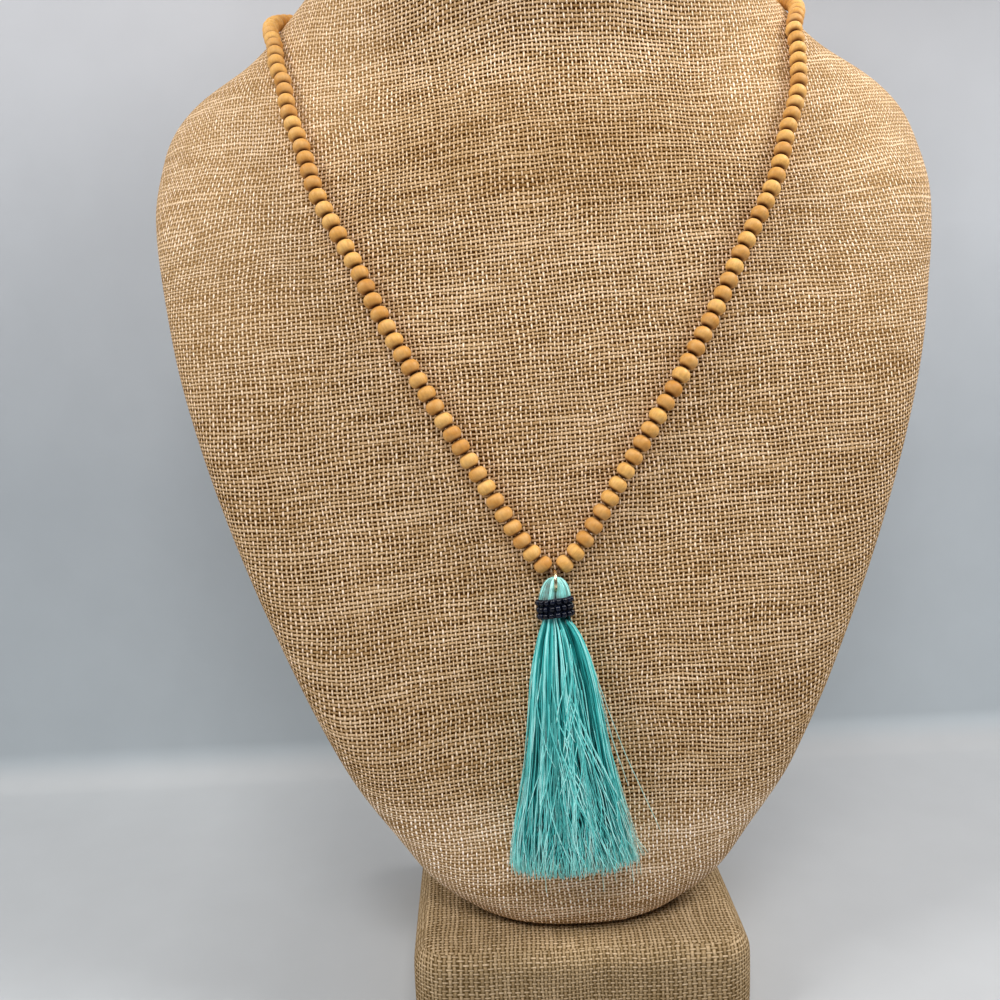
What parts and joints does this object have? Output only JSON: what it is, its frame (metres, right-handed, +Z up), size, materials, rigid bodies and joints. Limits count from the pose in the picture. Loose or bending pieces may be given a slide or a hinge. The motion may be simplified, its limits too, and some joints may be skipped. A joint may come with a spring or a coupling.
{
  "type": "tassel necklace on a neck bust",
  "caption": "Loop of round wooden beads with a jump ring, a bead-bound thread tassel and long skirt, laid on a padded fabric neck bust with a square foot.",
  "frame": {"origin": "centre of the underside of the bust's foot, on the surface it stands on", "axes": "+Z up, -Y to the front of the chest, +X to the viewer's right"},
  "size_m": [0.278, 0.1845, 0.4053],
  "materials": {
    "foot_fabric": "plain-woven burlap, matt",
    "burlap": "coarse plain-woven burlap, matt, pale and brown threads",
    "bead_wood": "smooth unpolished wood",
    "thread": "dark waxed thread",
    "ring_metal": "pale gold plating, polished",
    "tassel_thread": "silky turquoise thread",
    "seed_bead_glass": "glossy opaque navy glass"
  },
  "bodies": {
    "root": {"bust_foot": "foot_fabric", "bust_form": "burlap", "bead_strand_left": "bead_wood", "bead_strand_right": "bead_wood", "string_thread": "thread", "jump_ring": "ring_metal", "tassel": "tassel_thread", "seed_bead_wrap": "seed_bead_glass"}
  },
  "joints": []
}
